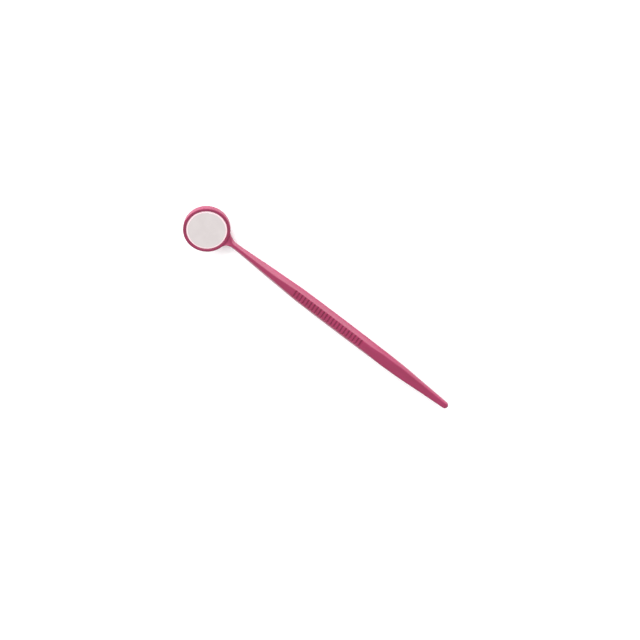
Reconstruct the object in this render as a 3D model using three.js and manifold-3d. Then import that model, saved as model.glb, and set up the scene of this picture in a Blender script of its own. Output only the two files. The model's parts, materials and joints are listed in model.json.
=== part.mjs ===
// A disposable mouth mirror: a one-piece moulded handle whose round head cup holds a bonded mirror.
// Millimetres, +Z up. +X runs from the tail of the handle to the head, and the mirror face looks up
// and back towards the tail.
import * as THREE from "three";
import { mergeVertices } from "three/addons/utils/BufferGeometryUtils.js";
import Module from "manifold-3d";

// Handle, measured along its straight axis from the tip of the tail.
const HEAD_CENTRE_X = 158;
const TAIL_CAP = 1.7;
const NECK_X = 140;
const GRIP_THICKNESS = 5.8;
const GRIP_FLAT = 4.7;
// Stations of the spindle: distance from the tail, full width, full thickness, width of the flats.
const STATIONS = [
  { x: 0, width: 3.3, thickness: 2.6, flat: 2.6 },
  { x: 14, width: 4.8, thickness: 3.3, flat: 4.0 },
  { x: 33, width: 7.1, thickness: 4.7, flat: 5.8 },
  { x: 41, width: 7.8, thickness: 5.3, flat: 5.9 },
  { x: 51, width: 8.3, thickness: GRIP_THICKNESS, flat: GRIP_FLAT },
  { x: 72, width: 8.6, thickness: GRIP_THICKNESS, flat: GRIP_FLAT },
  { x: 94, width: 8.4, thickness: GRIP_THICKNESS, flat: GRIP_FLAT },
  { x: 113, width: 6.9, thickness: GRIP_THICKNESS, flat: 2.9 },
  { x: 122, width: 6.0, thickness: 4.8, flat: 2.2 },
  { x: 133, width: 4.6, thickness: 3.4, flat: 1.6 },
  { x: NECK_X, width: 3.9, thickness: 2.7, flat: 1.4 },
];
const EDGE_ROUNDING = 0.18; // share of a section's side that each softened edge takes up
const EDGE_STEPS = 2;
const SHAFT_RINGS = 30;
const TAIL_RINGS = [8, 28, 48, 68]; // degrees along the quarter circle of the rounded tip

// Grip ribs: bars left standing between grooves cut across both flats.
const GROOVE_COUNT = 22;
const GROOVE_PITCH = 2.075;
const FIRST_GROOVE_X = 56;
const GROOVE_WIDTH = 1.05;
const GROOVE_FLOOR = 0.6;
const GROOVE_DEPTH = 0.4;
const GROOVE_LENGTH = 4.2;

// Head cup, in its own frame: centred on its axis, top of the rim at z = 0, mirror side up.
const HEAD_TILT = THREE.MathUtils.degToRad(28);
const HEAD_RADIUS = 12.7;
const CUP_DEPTH = 4.3;
const BACK_DOME = 0.9;
const RIM_ROUNDING = 0.55;
const BACK_ROUNDING = 0.6;
const RECESS_RADIUS = 11.25;
const HEAD_SEGMENTS = 48;
const ARC_STEPS = 4;

// Y-shaped web that joins the neck to the rim.
const WEB_FILLET = 3.2;
const WEB_FLARE = 0.92; // share of the fillet that the web follows before it reaches the wall
const WEB_THICKNESS = 2.6;
const WEB_TOP = -0.4;
const WEB_STATIONS = 10;

// Front-coated mirror, from its face down to the floor of the cup.
const GAP = 0.3;
const SILVER_TOP = -0.2;
const SILVER_THICKNESS = 0.15;
const GLASS_RADIUS = RECESS_RADIUS - GAP;
const GLASS_THICKNESS = 1.5;
const GLASS_BEVEL = 0.5;
const SILVER_RADIUS = GLASS_RADIUS - GLASS_BEVEL;
const ADHESIVE_THICKNESS = 0.35;
const ADHESIVE_RADIUS = 9.4;

const GLASS_TOP = SILVER_TOP - SILVER_THICKNESS - GAP;
const ADHESIVE_TOP = GLASS_TOP - GLASS_THICKNESS - GAP;
const RECESS_FLOOR = ADHESIVE_TOP - ADHESIVE_THICKNESS - GAP;

// The mirror lies on the underside of its grip and on the back edge of its head.
const HEAD_LIFT =
  (HEAD_RADIUS - BACK_ROUNDING) * Math.sin(HEAD_TILT) +
  (CUP_DEPTH - BACK_ROUNDING) * Math.cos(HEAD_TILT) +
  BACK_ROUNDING -
  GRIP_THICKNESS / 2;

const WELD_DISTANCE = 1e-4;

const wasm = await Module();
wasm.setup();

function toSolid(geometry) {
  const bare = geometry.clone();
  bare.deleteAttribute("normal");
  bare.deleteAttribute("uv");
  const merged = mergeVertices(bare, WELD_DISTANCE);
  return new wasm.Manifold(
    new wasm.Mesh({
      numProp: 3,
      vertProperties: merged.attributes.position.array,
      triVerts: new Uint32Array(merged.index.array),
    }),
  );
}

function toGeometry(solid) {
  const { vertProperties, triVerts } = solid.getMesh();
  const geometry = new THREE.BufferGeometry();
  geometry.setAttribute("position", new THREE.BufferAttribute(vertProperties, 3));
  geometry.setIndex(new THREE.BufferAttribute(triVerts, 1));
  geometry.computeVertexNormals();
  return geometry;
}

// A closed skin over rings that all have the same number of points, with flat ends.
function loft(rings) {
  const size = rings[0].length;
  const points = rings.flat();
  const first = points.push(centreOf(rings[0])) - 1;
  const last = points.push(centreOf(rings.at(-1))) - 1;
  const faces = [];
  for (let ring = 0; ring + 1 < rings.length; ring++) {
    for (let i = 0; i < size; i++) {
      const a = ring * size + i;
      const b = ring * size + ((i + 1) % size);
      faces.push(a, b, b + size, a, b + size, a + size);
    }
  }
  const end = (rings.length - 1) * size;
  for (let i = 0; i < size; i++) {
    const next = (i + 1) % size;
    faces.push(first, next, i);
    faces.push(last, end + i, end + next);
  }
  const geometry = new THREE.BufferGeometry().setFromPoints(points);
  geometry.setIndex(faces);
  return geometry;
}

function centreOf(ring) {
  const sum = new THREE.Vector3();
  ring.forEach((point) => sum.add(point));
  return sum.divideScalar(ring.length);
}

// A profile of arcs and straight lines, turned about the Z axis.
function revolve(profile) {
  return new THREE.LatheGeometry(profile, HEAD_SEGMENTS).rotateX(Math.PI / 2);
}

function arc(x, y, radius, from, to) {
  const points = [];
  for (let i = 0; i <= ARC_STEPS; i++) {
    const angle = THREE.MathUtils.degToRad(from + ((to - from) * i) / ARC_STEPS);
    points.push(new THREE.Vector2(x + radius * Math.cos(angle), y + radius * Math.sin(angle)));
  }
  return points;
}

function disc(radius, top, thickness, bevel = 0) {
  return revolve([
    new THREE.Vector2(0, top - thickness),
    new THREE.Vector2(radius, top - thickness),
    new THREE.Vector2(radius, top - bevel),
    ...(bevel ? [new THREE.Vector2(radius - bevel, top)] : []),
    new THREE.Vector2(0, top),
  ]);
}

// The six-sided section of the handle with softened edges, in its own plane: (across, up).
function section({ width, thickness, flat }) {
  const corners = [
    new THREE.Vector2(width / 2, 0),
    new THREE.Vector2(flat / 2, thickness / 2),
    new THREE.Vector2(-flat / 2, thickness / 2),
    new THREE.Vector2(-width / 2, 0),
    new THREE.Vector2(-flat / 2, -thickness / 2),
    new THREE.Vector2(flat / 2, -thickness / 2),
  ];
  return corners.flatMap((corner, i) => {
    const before = corners.at(i - 1);
    const after = corners[(i + 1) % corners.length];
    const bend = new THREE.QuadraticBezierCurve(
      corner.clone().lerp(before, EDGE_ROUNDING),
      corner,
      corner.clone().lerp(after, EDGE_ROUNDING),
    );
    return bend.getPoints(EDGE_STEPS);
  });
}

// A smooth curve through the stations gives the section at any distance from the tail.
function sectionSize(x) {
  const sizes = {};
  const index = Math.max(1, STATIONS.findIndex((station) => station.x >= x));
  const [before, after] = [STATIONS[index - 1], STATIONS[index]];
  const outer = [STATIONS[index - 2] ?? before, before, after, STATIONS[index + 1] ?? after];
  const t = (x - before.x) / (after.x - before.x);
  for (const key of ["width", "thickness", "flat"]) {
    const slopeAt = (i) => slope(outer[i - 1], outer[i], outer[i + 1], key) * (after.x - before.x);
    sizes[key] = hermite(before[key], after[key], slopeAt(1), slopeAt(2), t);
  }
  return sizes;
}

// The slope at a station is the gentler of its two neighbours', so the curve never overshoots.
function slope(before, here, after, key) {
  const rise = (a, b) => (b.x > a.x ? (b[key] - a[key]) / (b.x - a.x) : null);
  const left = rise(before, here) ?? rise(here, after);
  const right = rise(here, after) ?? left;
  return left * right > 0 ? (2 * left * right) / (left + right) : 0;
}

function hermite(start, end, startSlope, endSlope, t) {
  const s = 1 - t;
  return (
    start * (1 + 2 * t) * s * s +
    end * t * t * (3 - 2 * t) +
    startSlope * t * s * s -
    endSlope * t * t * s
  );
}

function ring(size, x, z, tilt) {
  return section(size).map(
    ({ x: across, y: up }) =>
      new THREE.Vector3(x - up * Math.sin(tilt), across, z + up * Math.cos(tilt)),
  );
}

// The rounded tip of the tail: sections that shrink along a quarter circle.
function tailRings() {
  return TAIL_RINGS.map((degrees) => {
    const angle = THREE.MathUtils.degToRad(degrees);
    const x = TAIL_CAP * (1 - Math.cos(angle));
    const share = Math.sin(angle);
    const { width, thickness, flat } = sectionSize(x);
    const size = { width: width * share, thickness: thickness * share, flat: flat * share };
    return ring(size, x, 0, 0);
  });
}

function shaftRings() {
  const rings = [];
  for (let i = 0; i <= SHAFT_RINGS; i++) {
    const x = TAIL_CAP + ((NECK_X - TAIL_CAP) * i) / SHAFT_RINGS;
    rings.push(ring(sectionSize(x), x, 0, 0));
  }
  return rings;
}

// The web leaves the neck, leans back to the tilt of the head and flares along two fillets that are
// tangent to the neck and to the rim. Its last section lies inside the wall of the cup.
function webRings() {
  const neck = STATIONS.at(-1);
  const inWall = (HEAD_RADIUS + RECESS_RADIUS) / 2;
  const middle = WEB_TOP - WEB_THICKNESS / 2;
  const endX = HEAD_CENTRE_X - inWall * Math.cos(HEAD_TILT) - middle * Math.sin(HEAD_TILT);
  const endZ = HEAD_LIFT - inWall * Math.sin(HEAD_TILT) + middle * Math.cos(HEAD_TILT);
  const filletAcross = neck.width / 2 + WEB_FILLET;
  const filletAlong = Math.sqrt((HEAD_RADIUS + WEB_FILLET) ** 2 - filletAcross ** 2);
  const rings = [];
  for (let i = 1; i <= WEB_STATIONS; i++) {
    const t = i / WEB_STATIONS;
    const ease = THREE.MathUtils.smoothstep(t, 0, 1);
    const x = NECK_X + (endX - NECK_X) * t;
    const z = endZ * ease;
    const toCentre = inWall + (endX - x);
    const reach = Math.min(Math.max(filletAlong - toCentre, 0), WEB_FILLET * WEB_FLARE);
    const flare = WEB_FILLET - Math.sqrt(WEB_FILLET ** 2 - reach ** 2);
    const size = {
      width: neck.width + 2 * flare,
      thickness: neck.thickness + (WEB_THICKNESS - neck.thickness) * ease,
      flat: neck.flat + 2 * flare,
    };
    rings.push(ring(size, x, z, HEAD_TILT * ease));
  }
  return rings;
}

// The outside of the head: domed back, rounded back edge, straight wall and rounded rim.
function headBlank() {
  const domeRadius = (HEAD_RADIUS ** 2 + BACK_DOME ** 2) / (2 * BACK_DOME);
  const bottom = -CUP_DEPTH - BACK_DOME;
  const wall = HEAD_RADIUS - BACK_ROUNDING;
  const rim = HEAD_RADIUS - RIM_ROUNDING;
  const dome = [];
  for (let i = 0; i <= ARC_STEPS; i++) {
    const r = (wall * i) / (ARC_STEPS + 1);
    dome.push(new THREE.Vector2(r, bottom + domeRadius - Math.sqrt(domeRadius ** 2 - r ** 2)));
  }
  return revolve([
    ...dome,
    ...arc(wall, BACK_ROUNDING - CUP_DEPTH, BACK_ROUNDING, -90, 0),
    ...arc(rim, -RIM_ROUNDING, RIM_ROUNDING, 0, 90),
    new THREE.Vector2(0, 0),
  ]);
}

// The hole for the mirror, with a rounded mouth.
function recess() {
  const above = 1;
  return revolve([
    new THREE.Vector2(0, RECESS_FLOOR),
    new THREE.Vector2(RECESS_RADIUS, RECESS_FLOOR),
    new THREE.Vector2(RECESS_RADIUS, -RIM_ROUNDING),
    ...arc(RECESS_RADIUS + RIM_ROUNDING, -RIM_ROUNDING, RIM_ROUNDING, 180, 90).slice(1),
    new THREE.Vector2(RECESS_RADIUS + RIM_ROUNDING, above),
    new THREE.Vector2(0, above),
  ]);
}

// One groove across the upper flat: a trapezoid in the XZ plane, extruded along Y.
function groove(x) {
  const top = GRIP_THICKNESS / 2;
  const above = 0.3;
  const flare = ((GROOVE_WIDTH - GROOVE_FLOOR) / GROOVE_DEPTH) * above;
  const outline = new THREE.Shape([
    new THREE.Vector2(x - GROOVE_FLOOR / 2, top - GROOVE_DEPTH),
    new THREE.Vector2(x + GROOVE_FLOOR / 2, top - GROOVE_DEPTH),
    new THREE.Vector2(x + (GROOVE_WIDTH + flare) / 2, top + above),
    new THREE.Vector2(x - (GROOVE_WIDTH + flare) / 2, top + above),
  ]);
  return new THREE.ExtrudeGeometry(outline, { depth: GROOVE_LENGTH, bevelEnabled: false })
    .rotateX(Math.PI / 2)
    .translate(0, GROOVE_LENGTH / 2, 0);
}

function inHeadPlace(geometry) {
  return geometry.rotateY(-HEAD_TILT).translate(HEAD_CENTRE_X, 0, HEAD_LIFT);
}

function handleMoulding() {
  let solid = toSolid(loft([...tailRings(), ...shaftRings(), ...webRings()]));
  solid = solid.add(toSolid(inHeadPlace(headBlank())));
  solid = solid.subtract(toSolid(inHeadPlace(recess())));
  for (let i = 0; i < GROOVE_COUNT; i++) {
    const x = FIRST_GROOVE_X + GROOVE_PITCH * i;
    solid = solid.subtract(toSolid(groove(x)));
    solid = solid.subtract(toSolid(groove(x).rotateX(Math.PI)));
  }
  return toGeometry(solid);
}

const plumPlastic = new THREE.MeshStandardMaterial({ color: 0xa43a60, roughness: 0.28 });
const clearGlass = new THREE.MeshStandardMaterial({
  color: 0xe6f0ee,
  roughness: 0.03,
  transparent: true,
  opacity: 0.35,
});
const silver = new THREE.MeshStandardMaterial({ color: 0xe9e7e6, roughness: 0.05, metalness: 1 });
const adhesive = new THREE.MeshStandardMaterial({ color: 0xe8e4d6, roughness: 0.5 });

function named(name, geometry, material) {
  const mesh = new THREE.Mesh(geometry, material);
  mesh.name = name;
  return mesh;
}

const mirror = new THREE.Group();
mirror.position.set(HEAD_CENTRE_X, 0, HEAD_LIFT);
mirror.rotation.y = -HEAD_TILT;
mirror.add(
  named("silver_coating", disc(SILVER_RADIUS, SILVER_TOP, SILVER_THICKNESS), silver),
  named("mirror_glass", disc(GLASS_RADIUS, GLASS_TOP, GLASS_THICKNESS, GLASS_BEVEL), clearGlass),
  named("adhesive_pad", disc(ADHESIVE_RADIUS, ADHESIVE_TOP, ADHESIVE_THICKNESS), adhesive),
);

const group = new THREE.Group();
group.add(named("handle_moulding", handleMoulding(), plumPlastic), mirror);

// The origin is below the middle of the object, on the surface that it lies on.
const box = new THREE.Box3().setFromObject(group, true);
group.position.set(-(box.min.x + box.max.x) / 2, 0, -box.min.z);

export default group;
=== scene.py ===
"""Looks of a disposable mouth mirror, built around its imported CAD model."""
import json
import math

import bmesh
import bpy
import numpy as np
from mathutils import Matrix, Vector


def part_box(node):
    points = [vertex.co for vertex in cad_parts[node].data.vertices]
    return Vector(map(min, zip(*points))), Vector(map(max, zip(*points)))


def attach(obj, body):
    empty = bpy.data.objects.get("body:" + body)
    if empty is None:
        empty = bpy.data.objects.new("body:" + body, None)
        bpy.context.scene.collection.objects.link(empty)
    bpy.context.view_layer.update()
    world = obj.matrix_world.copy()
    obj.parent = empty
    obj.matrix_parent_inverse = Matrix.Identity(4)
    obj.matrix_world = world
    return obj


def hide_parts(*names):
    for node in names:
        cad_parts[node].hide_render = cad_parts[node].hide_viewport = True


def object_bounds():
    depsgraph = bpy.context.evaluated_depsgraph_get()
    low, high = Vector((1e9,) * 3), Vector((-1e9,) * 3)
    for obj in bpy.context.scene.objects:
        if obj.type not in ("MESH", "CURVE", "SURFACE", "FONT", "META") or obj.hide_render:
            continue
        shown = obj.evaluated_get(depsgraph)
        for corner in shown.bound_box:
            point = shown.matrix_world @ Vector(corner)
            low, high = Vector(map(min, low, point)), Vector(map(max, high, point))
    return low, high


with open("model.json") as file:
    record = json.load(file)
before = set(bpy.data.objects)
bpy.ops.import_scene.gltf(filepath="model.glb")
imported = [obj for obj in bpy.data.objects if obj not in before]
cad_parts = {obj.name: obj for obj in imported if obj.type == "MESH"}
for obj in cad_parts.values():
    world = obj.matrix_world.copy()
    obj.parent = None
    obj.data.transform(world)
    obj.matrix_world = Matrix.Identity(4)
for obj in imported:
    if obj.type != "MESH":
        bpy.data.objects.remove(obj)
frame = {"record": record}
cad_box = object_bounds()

# Mesh code works in millimetres, in the frame of the part, and place() turns the result into metres.
MM = 0.001

# What the CAD model says.
mounts = {mount["name"]: mount for mount in frame["record"]["mounts"]}
FACE_POINT = np.array(mounts["mirror_face"]["pos_m"]) / MM
FACE_NORMAL = np.array(mounts["mirror_face"]["axis"])
HEAD_TILT = math.atan2(-FACE_NORMAL[0], FACE_NORMAL[2])
GRIP_THICKNESS = mounts["grip_top"]["pos_m"][2] / MM
AXIS_Z = GRIP_THICKNESS / 2
TAIL_X = cad_box[0].x / MM
HEAD_INSET = 0.02
HEAD_RADIUS = (cad_box[1].y - cad_box[0].y) / 2 / MM - HEAD_INSET

# Handle, measured from the tip of the tail: distance, width, thickness, width of the flats.
GRIP_FLAT = 4.7
STATIONS = np.array([
    (0, 3.3, 2.6, 2.6),
    (14, 4.8, 3.3, 4.0),
    (33, 7.1, 4.7, 5.8),
    (41, 7.8, 5.3, 5.9),
    (51, 8.3, GRIP_THICKNESS, GRIP_FLAT),
    (72, 8.6, GRIP_THICKNESS, GRIP_FLAT),
    (94, 8.4, GRIP_THICKNESS, GRIP_FLAT),
    (113, 6.9, GRIP_THICKNESS, 2.9),
    (122, 6.0, 4.8, 2.2),
    (133, 4.6, 3.4, 1.6),
    (140, 3.9, 2.7, 1.4),
])
TAIL_CAP = 1.7  # length of the rounded end
CAP_STEP = 8  # degrees
TAIL_RINGS = 34
NECK_RINGS = 30
WEB_START = 142.6

# The edges are rounded over this share of the faces beside them. The side edges are rounder on the
# tail, and take the same share as the others at the end of TAIL_BLEND.
EDGE_ROUNDING = 0.17
TAIL_ROUNDING = 0.6
TAIL_BLEND = (28, 50)

# Height of the parting line, and where it fades in and out.
PARTING_LINE = 0.045
PARTING_FADE_IN = (2, 8)
PARTING_FADE_OUT = (134, 140)

# Grip grooves. A groove is flat for GROOVE_FLOOR on each side of its middle and ends at GROOVE_TOP,
# and it runs out across the handle between the two values of GROOVE_REACH.
GROOVE_COUNT = 22
GROOVE_PITCH = 2.075
FIRST_GROOVE = 56.0
GROOVE_DEPTH = 0.48
GROOVE_FLOOR = 0.27
GROOVE_TOP = 0.56
GROOVE_REACH = (1.65, 2.2)

# Points in a section of the handle: the bend at each edge, and the steps of each face.
BEND_POINTS = 6
FLAT_STEPS = 14
SIDE_STEPS = 3
FLAT_POINTS = FLAT_STEPS + BEND_POINTS
SIDE_POINTS = 2 * (SIDE_STEPS + BEND_POINTS)
RING = 2 * (FLAT_POINTS + SIDE_POINTS)
PARTING_POINTS = (FLAT_POINTS + SIDE_POINTS // 2, RING - SIDE_POINTS // 2)

# Head cup, in its own frame: rim top at 0, mirror side up.
FACE_DEPTH = 0.2
CUP_DEPTH = 4.3
BACK_DOME = 0.9
RIM_ROUNDING = 0.55
BACK_ROUNDING = 0.6
RECESS_RADIUS = 11.0
RECESS_FLOOR = -3.1
RECESS_CORNER = 0.3
HEAD_SEGMENTS = 180
CUP_HUB = 0.6  # radius of the first ring round the axis
DISC_HUB = 0.5

# The web joins the neck to the wall of the cup. Its outline there runs from WEB_TOP points down the
# rounding of the rim to the rounding of the back, and is WEB_COLUMNS wide on each side of the middle.
# It leaves the neck along x, and the pulls bring it in along the wall: round it, up it and down it.
WEB_TOP = 3
WEB_COLUMNS = 10
WEB_STEPS = 17
WEB_PUSH = 5.4
WEB_PULL_ROUND = 3.4
WEB_PULL_UP = 0.8
WEB_PULL_DOWN = 1.6

SEAM = 0.01  # air between bonded layers
SEAT_GAP = 0.02  # air between the glass and the wall of the recess
BARE_EDGE = 0.3  # how far the visible silvering stops short of the CAD coating's edge
FILM = 0.03  # thickness of the visible silvering
BEVEL = 0.5
GLASS_CORNER = 0.12

RIM_CENTRE = FACE_POINT + FACE_NORMAL * FACE_DEPTH


def smoothstep(low, high, value):
    t = np.clip((value - low) / (high - low), 0, 1)
    return t * t * (3 - 2 * t)


def station_curve(x, column):
    """A smooth curve through one column of the stations, which never overshoots them."""
    xs, ys = STATIONS[:, 0], STATIONS[:, column]
    rise = np.diff(ys) / np.diff(xs)
    left, right = np.r_[rise[0], rise], np.r_[rise, rise[-1]]
    same = left * right > 0
    total = np.where(same, left + right, 1)
    slope = np.where(same, 2 * left * right / total, 0)
    i = np.clip(np.searchsorted(xs, x) - 1, 0, len(rise) - 1)
    step = xs[i + 1] - xs[i]
    t = np.clip((x - xs[i]) / step, 0, 1)
    s = 1 - t
    ends = ys[i] * (1 + 2 * t) * s * s + ys[i + 1] * t * t * (3 - 2 * t)
    return ends + (slope[i] * s - slope[i + 1] * t) * t * s * step


def sections(width, thickness, flat, side_rounding):
    """The six-sided section with softened edges at each station: (station, point, (across, up)).
    A ring starts at one edge of the upper flat, and runs over it, down one side, back and up."""
    zero = np.zeros_like(width)
    spans = [
        (flat, thickness), (-flat, thickness), (-width, zero),
        (-flat, -thickness), (flat, -thickness), (width, zero),
    ]
    corners = [np.stack([across / 2, up / 2], -1) for across, up in spans]

    def at(i):
        return corners[i % 6]

    def towards(i, j):
        is_side_edge = i % 3 == 2
        rounding = side_rounding[:, None] if is_side_edge else EDGE_ROUNDING
        return at(i) + (at(j) - at(i)) * rounding

    def bend(i, places):
        start, end = towards(i, i - 1), towards(i, i + 1)
        return [(1 - t) ** 2 * start + 2 * t * (1 - t) * at(i) + t * t * end for t in places]

    def straight(i, count):
        start, end = towards(i, i + 1), towards(i + 1, i)
        return [start + (end - start) * k / count for k in range(count)]

    points = []
    for edge in (0, 3):
        points += bend(edge, (1 / 2, 2 / 3, 5 / 6))
        points += straight(edge, FLAT_STEPS)
        points += bend(edge + 1, (0, 1 / 6, 1 / 3, 1 / 2, 2 / 3, 5 / 6))
        points += straight(edge + 1, SIDE_STEPS)
        points += bend(edge + 2, (0, 1 / 4, 0.44, 1 / 2, 0.56, 3 / 4))
        points += straight(edge + 2, SIDE_STEPS)
        points += bend(edge + 3, (0, 1 / 6, 1 / 3))
    return np.stack(points, 1)


def groove_centres():
    return FIRST_GROOVE + GROOVE_PITCH * np.arange(GROOVE_COUNT)


def shaft_stations():
    """Distances from the tail, close together where the grooves need them."""
    centres = groove_centres()
    ribs_start, ribs_end = centres[0] - GROOVE_PITCH / 2, centres[-1] + GROOVE_PITCH / 2
    from_middle = np.array([GROOVE_FLOOR, 0.36, 0.45, 0.54, 0.62, 0.82])
    pattern = np.r_[-from_middle[::-1], 0, from_middle, GROOVE_PITCH / 2]
    ribs = (centres[:, None] + pattern).ravel()
    tail = np.linspace(TAIL_CAP, ribs_start, TAIL_RINGS)
    neck = np.linspace(ribs_end, WEB_START, NECK_RINGS)
    return np.r_[tail, ribs, neck[1:]]


def shaft_rings():
    x = shaft_stations()
    angle = np.radians(np.arange(CAP_STEP, 90, CAP_STEP))
    cap = TAIL_CAP * (1 - np.cos(angle))
    share = np.r_[np.sin(angle), np.ones(len(x))]
    x = np.r_[cap, x]
    on_tail = 1 - smoothstep(*TAIL_BLEND, x)
    side_rounding = EDGE_ROUNDING + (TAIL_ROUNDING - EDGE_ROUNDING) * on_tail
    ring = sections(*(station_curve(x, column) * share for column in (1, 2, 3)), side_rounding)
    across, up = ring[..., 0], ring[..., 1]

    ridge = PARTING_LINE * smoothstep(*PARTING_FADE_IN, x) * (1 - smoothstep(*PARTING_FADE_OUT, x))
    for point in PARTING_POINTS:
        across[:, point] += np.sign(across[:, point]) * ridge

    from_groove = np.abs(x[:, None] - groove_centres()).min(1)
    along = 1 - smoothstep(GROOVE_FLOOR, GROOVE_TOP, from_groove)
    inside = 1 - smoothstep(*GROOVE_REACH, np.abs(across))
    side = FLAT_POINTS + SIDE_POINTS
    on_flat = np.arange(RING) % side <= FLAT_POINTS
    up -= np.sign(up) * GROOVE_DEPTH * along[:, None] * inside * on_flat

    rows = np.broadcast_to(x[:, None], across.shape)
    return np.stack([TAIL_X + rows, across, AXIS_Z + up], -1)


def in_head_place(points):
    """Turns points of the head's own frame (forward, across, up) into the frame of the part."""
    forward, across, up = np.moveaxis(np.asarray(points, float), -1, 0)
    cos, sin = math.cos(HEAD_TILT), math.sin(HEAD_TILT)
    turned = np.stack([forward * cos - up * sin, across, forward * sin + up * cos], -1)
    return turned + RIM_CENTRE


def arc(r, up, radius, start, end, steps):
    """Points of a profile round the centre (r, up), from one angle to the other in degrees."""
    angle = np.radians(np.linspace(start, end, steps + 1))
    return list(zip(r + radius * np.cos(angle), up + radius * np.sin(angle)))


def turned_grid(profile):
    """Each point of the profile (radius, up) as a row of points round the head's axis.
    Column 0 is on the side of the handle."""
    angle = np.arange(HEAD_SEGMENTS) * 2 * math.pi / HEAD_SEGMENTS
    profile = np.array(profile, float)
    r, up = profile[:, :1], profile[:, 1:]
    rows = [-r * np.cos(angle), r * np.sin(angle), up + 0 * angle]
    return np.stack(rows, -1)


def cup_profile():
    """From the floor of the recess, up its wall, over the rim and round to the back.
    Returns the profile, and the first and last rows that the web is joined to."""
    back_radius = HEAD_RADIUS - BACK_ROUNDING
    back_r = np.linspace(back_radius, CUP_HUB, 12)[1:]
    drop = CUP_DEPTH + BACK_DOME * (1 - (back_r / back_radius) ** 2)
    inner = [(r, RECESS_FLOOR) for r in (CUP_HUB, 5, 9)]
    inner += arc(
        RECESS_RADIUS - RECESS_CORNER, RECESS_FLOOR + RECESS_CORNER, RECESS_CORNER, -90, 0, 4
    )
    inner += [(RECESS_RADIUS, up) for up in (-2.4, -1.6, -0.9)]
    inner += arc(RECESS_RADIUS + RIM_ROUNDING, -RIM_ROUNDING, RIM_ROUNDING, 180, 90, 8)
    rim = arc(HEAD_RADIUS - RIM_ROUNDING, -RIM_ROUNDING, RIM_ROUNDING, 90, 0, 6)
    wall_end = BACK_ROUNDING - CUP_DEPTH
    wall = [(HEAD_RADIUS, up) for up in np.linspace(-RIM_ROUNDING, wall_end, 13)[1:]]
    back = arc(back_radius, wall_end, BACK_ROUNDING, 0, -90, 8)[1:]
    profile = inner + rim + wall + back + list(zip(back_r, -drop))
    first = len(inner) + WEB_TOP
    return profile, first, first + SIDE_POINTS


def web_rings(start, wall, first, last):
    """Rings that carry the neck's section to the outline of the web on the wall of the cup, leaving
    the neck straight and meeting the wall tangent to it, so that every corner is a fillet.
    Returns the rings, and the row and column of the wall that each point of the outline lies on."""
    columns = np.arange(WEB_COLUMNS, -WEB_COLUMNS, -1)
    rows = np.arange(first, last)
    row = np.r_[0 * columns + first, rows, 0 * columns + last, rows[::-1] + 1]
    column = np.r_[columns, 0 * rows - WEB_COLUMNS, -columns, 0 * rows + WEB_COLUMNS]
    end = wall[row, column]

    aside = np.abs(column) / WEB_COLUMNS
    down = (row - first) / (last - first)
    sideways = np.where(np.abs(column) == WEB_COLUMNS, 1, smoothstep(0.45, 1.0, aside) * 0.9)
    upwards = np.where(row == first, 1, 1 - smoothstep(0, 0.3, down))
    downwards = np.where(row == last, 1, smoothstep(0.7, 1, down))

    def direction(next_row, next_column):
        step = wall[next_row, next_column] - end
        return step / np.linalg.norm(step, axis=-1, keepdims=True)

    round_wall = direction(row, column + np.where(column > 0, 1, -1))
    pull = WEB_PULL_ROUND * sideways[:, None] * round_wall
    vertical = 1 - 0.5 * sideways[:, None]
    pull += WEB_PULL_UP * upwards[:, None] * vertical * direction(row - 1, column)
    pull += WEB_PULL_DOWN * downwards[:, None] * vertical * direction(row + 1, column)

    push = np.array([WEB_PUSH, 0, 0])
    rings = []
    for t in np.linspace(0, 1, WEB_STEPS + 1)[1:-1]:
        s = 1 - t
        between = start * (1 + 2 * t) * s * s + end * t * t * (3 - 2 * t)
        rings.append(between + push * t * s * s - pull * t * t * s)
    return np.array(rings), row, column


def closed_faces(rows, columns, start=0):
    """Quads between neighbouring rows of a grid whose columns close on themselves."""
    i, j = np.meshgrid(np.arange(rows - 1), np.arange(columns), indexing="ij")
    k = (j + 1) % columns
    a, b = start + i * columns + j, start + i * columns + k
    return np.stack([a, b, b + columns, a + columns], -1)


def fan(ring, centre):
    """Triangles that close a ring with one point in its middle."""
    return [(ring[i], ring[(i + 1) % len(ring)], centre) for i in range(len(ring))]


def place(name, points, faces, material):
    """A smooth-shaded closed mesh object, with its faces pointing out."""
    mesh = bpy.data.meshes.new(name)
    mesh.from_pydata((np.asarray(points) * MM).tolist(), [], [tuple(map(int, f)) for f in faces])
    shape = bmesh.new()
    shape.from_mesh(mesh)
    loose = [vertex for vertex in shape.verts if not vertex.link_faces]
    bmesh.ops.delete(shape, geom=loose, context="VERTS")
    bmesh.ops.recalc_face_normals(shape, faces=shape.faces)
    shape.to_mesh(mesh)
    shape.free()
    mesh.shade_smooth()
    mesh.materials.append(material)
    obj = bpy.data.objects.new(name, mesh)
    bpy.context.scene.collection.objects.link(obj)
    return obj


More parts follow.
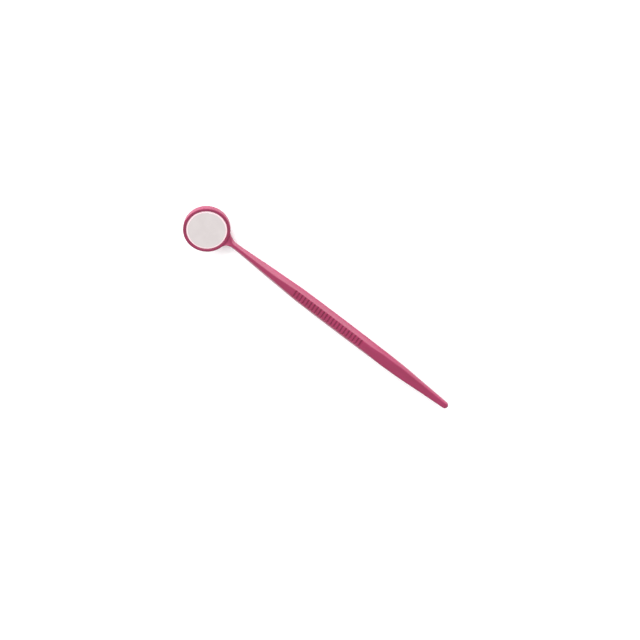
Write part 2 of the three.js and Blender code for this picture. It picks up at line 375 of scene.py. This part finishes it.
def make_handle(material):
    shaft = shaft_rings()
    profile, first, last = cup_profile()
    cup = in_head_place(turned_grid(profile))
    web, row, column = web_rings(shaft[-1], cup, first, last)

    stem = np.concatenate([shaft, web])
    tip = [TAIL_X, 0, AXIS_Z]
    cup_start = stem.shape[0] * RING
    points = np.concatenate([stem.reshape(-1, 3), cup.reshape(-1, 3), [tip]])
    centres = in_head_place([(0, 0, RECESS_FLOOR), (0, 0, -CUP_DEPTH - BACK_DOME)])
    points = np.concatenate([points, centres])
    tip_index, floor_index, back_index = range(len(points) - 3, len(points))

    faces = closed_faces(stem.shape[0], RING).reshape(-1, 4).tolist()
    joint = cup_start + row * HEAD_SEGMENTS + column % HEAD_SEGMENTS
    edge = (stem.shape[0] - 1) * RING + np.arange(RING)
    faces += np.stack([edge, np.roll(edge, -1), np.roll(joint, -1), joint], -1).tolist()

    quads = closed_faces(len(profile), HEAD_SEGMENTS, cup_start)
    under_web = np.zeros(quads.shape[:2], bool)
    under_web[first:last, np.arange(-WEB_COLUMNS, WEB_COLUMNS)] = True
    faces += quads[~under_web].tolist()

    around = np.arange(HEAD_SEGMENTS)
    faces += fan(np.arange(RING), tip_index)
    faces += fan(cup_start + around, floor_index)
    faces += fan(cup_start + (len(profile) - 1) * HEAD_SEGMENTS + around, back_index)
    return place("handle", points, faces, material)


def make_disc(name, profile, material, ripple=None):
    """A closed turned solid whose profile starts and ends next to the head's axis."""
    grid = turned_grid(profile)
    if ripple is not None:
        grid[..., :2] *= ripple[None, :, None]
    centres = [(0, 0, profile[0][1]), (0, 0, profile[-1][1])]
    points = in_head_place(np.concatenate([grid.reshape(-1, 3), centres]))
    faces = closed_faces(len(profile), HEAD_SEGMENTS).reshape(-1, 4).tolist()
    around = np.arange(HEAD_SEGMENTS)
    faces += fan(around, len(points) - 2)
    faces += fan((len(profile) - 1) * HEAD_SEGMENTS + around, len(points) - 1)
    return place(name, points, faces, material)


def layer_heights(node):
    """A disc's radius, and the levels of its two faces in the head's frame, from its CAD box."""
    low, high = (np.array(corner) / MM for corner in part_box(node))
    radius = (high[1] - low[1]) / 2
    middle = (np.array([(low[0] + high[0]) / 2, 0, (low[2] + high[2]) / 2]) - RIM_CENTRE) @ FACE_NORMAL
    thickness = (high[2] - low[2] - 2 * radius * math.sin(HEAD_TILT)) / math.cos(HEAD_TILT)
    return radius, middle - thickness / 2, middle + thickness / 2


def make_silvering(material):
    """The coating is a thin disc with a rounded edge, which lies on the face of the glass."""
    radius, _, high = layer_heights("silver_coating")
    radius -= BARE_EDGE
    low = high - FILM
    half = FILM / 2
    across = (DISC_HUB, 6, radius - 1)
    profile = [(r, low) for r in across]
    profile += arc(radius - half, low + half, half, -90, 90, 6)
    profile += [(r, high) for r in reversed(across)]
    return make_disc("silvering", profile, material)


def make_glass(material):
    """The glass comes up to the coating, and its upper edge is ground to a rounded bevel."""
    low = layer_heights("mirror_glass")[1]
    radius = RECESS_RADIUS - SEAT_GAP
    face = layer_heights("silver_coating")[2] - FILM - SEAM
    profile = [(r, low) for r in (DISC_HUB, 6, radius - 2)]
    profile += arc(radius - GLASS_CORNER, low + GLASS_CORNER, GLASS_CORNER, -90, 0, 4)
    profile += [(radius, face - BEVEL - 0.4)]
    profile += arc(radius - BEVEL, face - BEVEL, BEVEL, 0, 90, 10)
    profile += [(r, face) for r in (radius - BEVEL - 0.3, 6, DISC_HUB)]
    return make_disc("glass", profile, material)


def make_adhesive(material):
    """The glue is squeezed out into an uneven round patch with a bulging edge."""
    radius, low, high = layer_heights("adhesive_pad")
    half = (high - low) / 2
    angle = np.arange(HEAD_SEGMENTS) * 2 * math.pi / HEAD_SEGMENTS
    ripple = 0.975 + 0.012 * np.sin(3 * angle + 0.6)
    ripple = ripple + 0.008 * np.sin(7 * angle) + 0.005 * np.sin(12 * angle)
    across = (DISC_HUB, 4, radius - 1)
    profile = [(r, low) for r in across]
    profile += arc(radius - half, low + half, half, -90, 90, 8)
    profile += [(r, high) for r in reversed(across)]
    return make_disc("adhesive", profile, material, ripple=ripple)


# Materials. Each pair of colours is the darkest and the lightest of the material, and the scales of
# the textures are in cells per metre.

PLUM = ((0.222, 0.009, 0.054), (0.256, 0.0115, 0.067))
# Milky ground glass; its pink tint is painted reflection of the plum plastic round the mirror.
MILKY_GLASS_AND_PAINTED_PINK = ((0.93, 0.66, 0.71), (0.99, 0.76, 0.80))
CLEAR = (0.93, 0.97, 0.95, 1)
SILVER = ((0.795, 0.73, 0.725), (0.825, 0.76, 0.755))
GLUE = ((0.74, 0.69, 0.56), (0.84, 0.80, 0.70))

# The ground finish of the glass, with its painted pink reflection, comes in between these distances
# from the middle of the mirror.
GROUND_START = 10.0
GROUND_FULL = 10.1

# Sockets of the node that mixes two colours.
MIX_FACTOR, MIX_A, MIX_B, MIX_RESULT = 0, 6, 7, 2


def new_material(name, **values):
    """A Principled material, and the functions that add a node and link it to the shader."""
    material = bpy.data.materials.new(name)
    material.use_nodes = True
    tree = material.node_tree
    shader = tree.nodes["Principled BSDF"]
    for socket, value in values.items():
        shader.inputs[socket.replace("_", " ")].default_value = value

    def add(kind, links=(), **settings):
        node = tree.nodes.new(kind)
        for key, value in settings.items():
            if hasattr(node, key):
                setattr(node, key, value)
            else:
                node.inputs[key.replace("_", " ")].default_value = value
        for socket, source in links:
            tree.links.new(source, node.inputs[socket])
        return node

    def link(source, socket):
        tree.links.new(source, shader.inputs[socket])

    return material, add, link


def noise(add, place_at, scale, detail=3.0, roughness=0.5):
    return add(
        "ShaderNodeTexNoise", [("Vector", place_at)], Scale=scale, Detail=detail, Roughness=roughness
    ).outputs["Fac"]


def ramp(add, factor, low, high, start=0.35, end=0.65):
    node = add("ShaderNodeValToRGB", [("Fac", factor)])
    for element, position, colour in zip(node.color_ramp.elements, (start, end), (low, high)):
        element.position = position
        element.color = (*colour, 1)
    return node.outputs["Color"]


def spread(add, factor, low, high):
    return add(
        "ShaderNodeMapRange", [("Value", factor)], From_Min=0.3, From_Max=0.7, To_Min=low, To_Max=high
    ).outputs["Result"]


def plum_plastic():
    material, add, link = new_material(
        "plum_plastic", IOR=1.57, Specular_IOR_Level=0.42, Coat_Weight=0.1, Coat_Roughness=0.2,
        Subsurface_Weight=0.12, Subsurface_Radius=(1.2, 0.25, 0.4), Subsurface_Scale=0.001,
    )
    where = add("ShaderNodeTexCoord").outputs["Object"]
    flow = add("ShaderNodeMapping", [("Vector", where)], Scale=(0.25, 1, 1)).outputs["Vector"]
    cloud = noise(add, flow, 260, 4)
    link(ramp(add, cloud, *PLUM), "Base Color")
    grain = noise(add, where, 1900, 5, 0.6)
    link(spread(add, grain, 0.36, 0.46), "Roughness")
    peel = noise(add, where, 1300, 2)
    bump = add("ShaderNodeBump", [("Height", peel)], Strength=0.05, Distance=0.00004)
    link(bump.outputs["Normal"], "Normal")
    return material


def ground_glass():
    """Clear glass whose bevel and side are ground to a milky finish, tinted pink there as painted
    reflection of the plum plastic.
    """
    material, add, link = new_material("clear_glass", IOR=1.52)
    where = add("ShaderNodeTexCoord").outputs["Object"]
    from_middle = add("ShaderNodeVectorMath", [(0, where)], operation="DISTANCE")
    from_middle.inputs[1].default_value = RIM_CENTRE * MM
    ground = add(
        "ShaderNodeMapRange", [("Value", from_middle.outputs["Value"])],
        From_Min=GROUND_START * MM, From_Max=GROUND_FULL * MM, To_Min=0, To_Max=1,
    ).outputs["Result"]
    grit = noise(add, where, 3200, 6, 0.7)
    # The ground bevel is milky, with a painted pink reflection of the plastic in its colour.
    milky_and_painted_pink = ramp(add, grit, *MILKY_GLASS_AND_PAINTED_PINK)
    colour = add("ShaderNodeMix", [(MIX_FACTOR, ground), (MIX_B, milky_and_painted_pink)], data_type="RGBA")
    colour.inputs[MIX_A].default_value = CLEAR
    link(colour.outputs[MIX_RESULT], "Base Color")
    clear = add("ShaderNodeMath", [(1, ground)], operation="SUBTRACT")
    clear.inputs[0].default_value = 1
    link(clear.outputs[0], "Transmission Weight")
    matt = add("ShaderNodeMath", [(0, ground), (1, grit)], operation="MULTIPLY")
    link(matt.outputs[0], "Roughness")
    return material


def silver():
    material, add, link = new_material("silver_mirror", Metallic=1.0)
    where = add("ShaderNodeTexCoord").outputs["Object"]
    cloud = noise(add, where, 180, 2)
    link(ramp(add, cloud, *SILVER), "Base Color")
    link(spread(add, noise(add, where, 900, 3), 0.015, 0.04), "Roughness")
    return material


def cured_adhesive():
    material, add, link = new_material(
        "cured_adhesive",
        Subsurface_Weight=0.5, Subsurface_Radius=(1, 0.8, 0.5), Subsurface_Scale=0.0008,
    )
    where = add("ShaderNodeTexCoord").outputs["Object"]
    cloud = noise(add, where, 500, 4)
    link(ramp(add, cloud, *GLUE), "Base Color")
    link(spread(add, cloud, 0.3, 0.5), "Roughness")
    bubbles = add("ShaderNodeTexVoronoi", [("Vector", where)], Scale=900).outputs["Distance"]
    bump = add("ShaderNodeBump", [("Height", bubbles)], Strength=0.25, Distance=0.00005)
    link(bump.outputs["Normal"], "Normal")
    return material


# Camera, floor and light.

CAMERA_LENS = 68
CAMERA_SENSOR = 36
FLOOR_HALF = 3.0  # metres
WORLD_STRENGTH = 0.94


def make_camera():
    """The view is steep, from the left of the tail, with the camera rolled over."""
    azimuth, elevation, roll = (math.radians(angle) for angle in (-22.85, 65.72, -121.79))
    distance = 0.6396
    aim = Vector((-0.0045, 0.0039, 0.004))
    back = Vector((
        math.sin(azimuth) * math.cos(elevation),
        -math.cos(azimuth) * math.cos(elevation),
        math.sin(elevation),
    ))
    data = bpy.data.cameras.new("camera")
    data.lens = CAMERA_LENS
    data.sensor_width = CAMERA_SENSOR
    data.clip_start = 0.01
    data.clip_end = 20
    camera = bpy.data.objects.new("camera", data)
    camera.rotation_mode = "QUATERNION"
    level = (-back).to_track_quat("-Z", "Y")
    camera.rotation_quaternion = level @ Matrix.Rotation(roll, 3, "Z").to_quaternion()
    camera.location = aim + back * distance
    bpy.context.scene.collection.objects.link(camera)
    bpy.context.scene.camera = camera


def make_floor():
    """A matt white floor that glows faintly, like a light table."""
    mesh = bpy.data.meshes.new("floor")
    corners = [(FLOOR_HALF * x, FLOOR_HALF * y, 0) for x, y in ((-1, -1), (1, -1), (1, 1), (-1, 1))]
    mesh.from_pydata(corners, [], [(0, 1, 2, 3)])
    material = new_material(
        "floor", Base_Color=(0.9, 0.9, 0.9, 1), Roughness=0.9,
        Emission_Color=(1, 1, 1, 1), Emission_Strength=0.15,
    )[0]
    mesh.materials.append(material)
    floor = bpy.data.objects.new("floor", mesh)
    bpy.context.scene.collection.objects.link(floor)


def softbox(name, position, size, power):
    """An area light of this width and height in metres and this power in watts, which faces the
    middle of the object."""
    data = bpy.data.lights.new(name, "AREA")
    data.shape = "RECTANGLE"
    data.energy = power
    data.size, data.size_y = size
    light = bpy.data.objects.new(name, data)
    light.location = position
    light.rotation_mode = "QUATERNION"
    light.rotation_quaternion = (-Vector(position)).to_track_quat("-Z", "Y")
    bpy.context.scene.collection.objects.link(light)


def make_light():
    """A white surround, and three softboxes: the low strip is for the side facets of the handle."""
    world = bpy.data.worlds.new("studio")
    world.use_nodes = True
    background = world.node_tree.nodes["Background"]
    background.inputs["Color"].default_value = (1, 1, 1, 1)
    background.inputs["Strength"].default_value = WORLD_STRENGTH
    bpy.context.scene.world = world
    softbox("key_softbox", (0.30, -0.84, 0.48), (1.1, 0.44), 9.5)
    softbox("side_softbox", (1.00, -0.20, 0.48), (0.9, 0.7), 11)
    softbox("facet_strip", (0.16, -0.99, 0.07), (0.6, 0.2), 2.8)


plastic = plum_plastic()
pieces = [
    (make_handle(plastic), "handle_moulding", "plum_plastic"),
    (make_silvering(silver()), "silver_coating", "silver_mirror"),
    (make_glass(ground_glass()), "mirror_glass", "clear_glass"),
    (make_adhesive(cured_adhesive()), "adhesive_pad", "adhesive"),
]
for piece, node, slot in pieces:
    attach(piece, "root")
    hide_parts(node)

make_camera()
make_floor()
make_light()
bpy.context.scene.view_settings.view_transform = "Standard"
